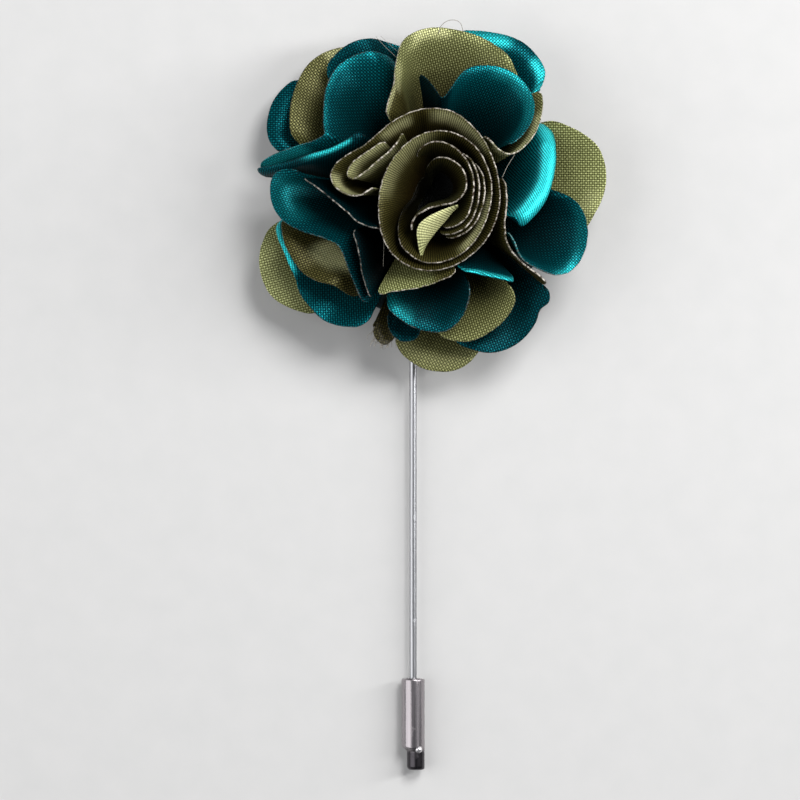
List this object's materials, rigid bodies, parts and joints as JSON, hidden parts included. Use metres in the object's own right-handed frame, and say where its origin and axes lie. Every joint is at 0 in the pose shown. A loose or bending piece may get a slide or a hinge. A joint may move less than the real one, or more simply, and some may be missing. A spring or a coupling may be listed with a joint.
{
  "type": "flower lapel pin",
  "caption": "Cloth flower lapel pin lying on its back: teal and olive folds round a wound rosette, on a straight stick pin with a pull-off cap over its point.",
  "frame": {"origin": "centre of the flower's back, on the surface that it lies on", "axes": "+Z out of the flower's face, -Y down the pin towards its point, +X to the right as the flower is seen from the front with the pin down"},
  "size_m": [0.0453, 0.0957, 0.0201],
  "materials": {
    "wire_steel": "drawn wire, satin",
    "cap_steel": "plated, bright",
    "felt": "pressed felt",
    "core_cloth": "sewn cloth, hidden",
    "teal_cloth": "satin weave with a singed edge",
    "olive_cloth": "satin weave with a singed edge"
  },
  "bodies": {
    "flower": {"stick_pin": "wire_steel", "backing": "felt", "core": "core_cloth", "rosette": "olive_cloth", "rosette_hairpin": "olive_cloth", "rosette_blade": "olive_cloth", "rosette_ply_inner": "olive_cloth", "rosette_ply_middle": "olive_cloth", "rosette_ply_outer": "olive_cloth", "upper_left_cup": "teal_cloth", "upper_left_lip": "teal_cloth", "upper_left_back": "teal_cloth", "upper_left_olive": "olive_cloth", "left_teal": "teal_cloth", "top_olive": "olive_cloth", "top_cup": "teal_cloth", "top_inner_olive": "olive_cloth", "top_teal": "teal_cloth", "right_teal": "teal_cloth", "right_olive": "olive_cloth", "lower_right_cup": "teal_cloth", "lower_right_olive": "olive_cloth", "bottom_cup": "teal_cloth", "bottom_olive": "olive_cloth", "bottom_lip": "teal_cloth", "bottom_teal": "teal_cloth", "bottom_back": "teal_cloth", "bottom_disc": "olive_cloth", "frayed_tip": "olive_cloth", "centre_olive": "olive_cloth", "lower_left_cup": "teal_cloth", "lower_left_lip": "teal_cloth", "lower_left_ply": "teal_cloth", "lower_left_olive": "olive_cloth", "lower_left_teal": "teal_cloth", "left_olive": "olive_cloth"},
    "cap": {"pin_cap": "cap_steel"}
  },
  "joints": [
    {"name": "cap_slide", "type": "slide", "parent": "flower", "child": "cap", "axis": [0, -1, 0], "range_m": [0, 0.02]}
  ]
}
